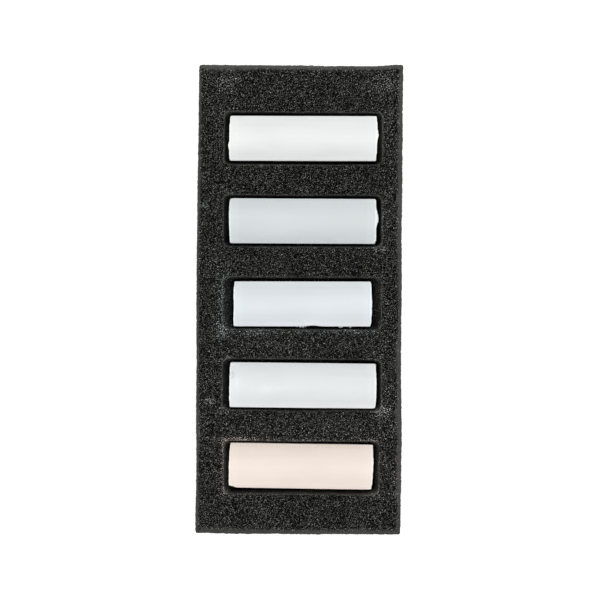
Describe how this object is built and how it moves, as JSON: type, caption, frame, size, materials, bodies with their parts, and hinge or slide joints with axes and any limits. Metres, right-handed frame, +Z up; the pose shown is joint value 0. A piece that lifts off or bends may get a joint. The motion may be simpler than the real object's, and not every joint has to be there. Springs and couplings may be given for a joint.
{
  "type": "pastel stick set",
  "caption": "Round pastel half-sticks in pale tints, lying side by side in the die-cut slots of a dark foam tray, each free to lift out.",
  "frame": {"origin": "centre of the tray's underside, which is the bottom centre of the whole object", "axes": "+X along the sticks, +Y along the tray from the peach stick to the white one, +Z up out of the slots"},
  "size_m": [0.0486, 0.1114, 0.0138],
  "materials": {
    "foam": "matte",
    "white_pastel": "matte",
    "grey_pastel": "matte",
    "blue_white_pastel": "matte",
    "pale_grey_pastel": "matte",
    "peach_pastel": "matte"
  },
  "bodies": {
    "tray": {"foam_base_layer": "foam", "foam_slot_layer": "foam"},
    "white_stick": {"white_stick": "white_pastel"},
    "grey_stick": {"grey_stick": "grey_pastel"},
    "blue_white_stick": {"blue_white_stick": "blue_white_pastel"},
    "pale_grey_stick": {"pale_grey_stick": "pale_grey_pastel"},
    "peach_stick": {"peach_stick": "peach_pastel"}
  },
  "joints": [
    {"name": "white_stick_lift", "type": "slide", "parent": "tray", "child": "white_stick", "axis": [0, 0, 1], "range_m": [0, 0.02]},
    {"name": "grey_stick_lift", "type": "slide", "parent": "tray", "child": "grey_stick", "axis": [0, 0, 1], "range_m": [0, 0.02]},
    {"name": "blue_white_stick_lift", "type": "slide", "parent": "tray", "child": "blue_white_stick", "axis": [0, 0, 1], "range_m": [0, 0.02]},
    {"name": "pale_grey_stick_lift", "type": "slide", "parent": "tray", "child": "pale_grey_stick", "axis": [0, 0, 1], "range_m": [0, 0.02]},
    {"name": "peach_stick_lift", "type": "slide", "parent": "tray", "child": "peach_stick", "axis": [0, 0, 1], "range_m": [0, 0.02]}
  ]
}
